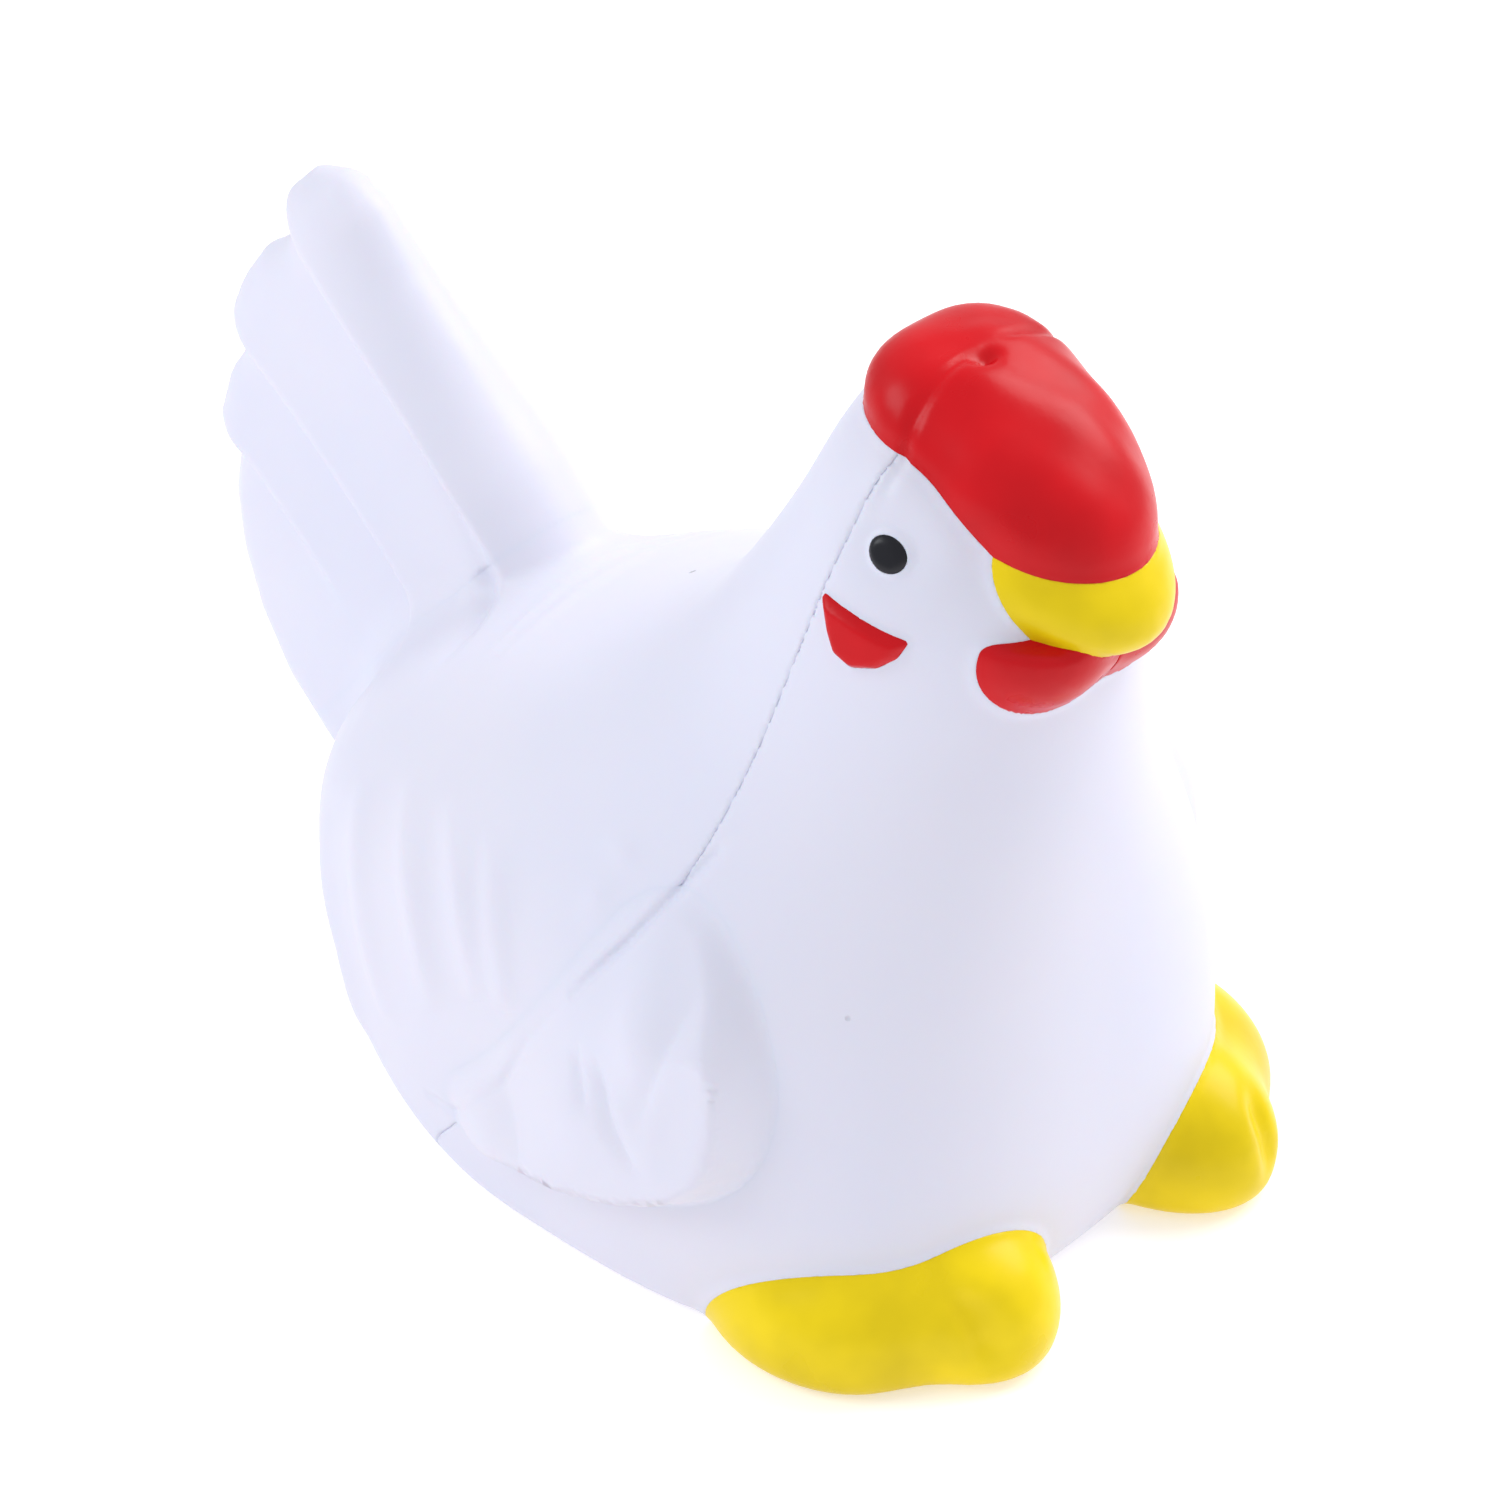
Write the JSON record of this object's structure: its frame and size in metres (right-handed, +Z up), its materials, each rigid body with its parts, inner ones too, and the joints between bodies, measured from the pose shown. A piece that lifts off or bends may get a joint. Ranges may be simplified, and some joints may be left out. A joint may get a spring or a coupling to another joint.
{
  "type": "squeeze toy hen",
  "caption": "Sitting toy hen moulded in soft foam, with a painted face and feet, a raised fan tail, and a neck and tail that flex and spring back.",
  "frame": {"origin": "point on the flat base, on the middle plane, below the neck side of the body's middle", "axes": "+Z up from the base; the hen faces -Y and her tail points to +Y; her left side is +X"},
  "size_m": [0.058, 0.0912, 0.0694],
  "materials": {
    "foam_core": "matte",
    "white_skin": "satin",
    "red_paint": "satin",
    "yellow_paint": "satin",
    "eye_paint": "gloss"
  },
  "bodies": {
    "torso": {"torso_core": "foam_core", "base_skin": "white_skin", "breast_skin": "white_skin", "back_skin": "white_skin", "wing_right": "white_skin", "wing_left": "white_skin", "foot_right": "yellow_paint", "foot_left": "yellow_paint"},
    "head": {"head_core": "foam_core", "face_skin": "white_skin", "nape_skin": "white_skin", "comb": "red_paint", "beak": "yellow_paint", "wattle_right": "red_paint", "wattle_left": "red_paint", "ear_lobe_right": "red_paint", "ear_lobe_left": "red_paint", "eye_right": "eye_paint", "eye_left": "eye_paint"},
    "tail": {"tail_core": "foam_core", "tail_feather_1": "white_skin", "tail_feather_2": "white_skin", "tail_feather_3": "white_skin", "tail_feather_4": "white_skin"}
  },
  "joints": [
    {"name": "neck_flex", "type": "hinge", "parent": "torso", "child": "head", "pos_m": [0, -0.011, 0.049], "axis": [1, 0, 0], "range_deg": [-10, 12], "stiffness_Nm_per_rad": 0.32},
    {"name": "tail_flex", "type": "hinge", "parent": "torso", "child": "tail", "pos_m": [0, 0.0325, 0.0305], "axis": [0, 0.682, -0.7314], "range_deg": [-22, 22], "stiffness_Nm_per_rad": 0.05}
  ]
}
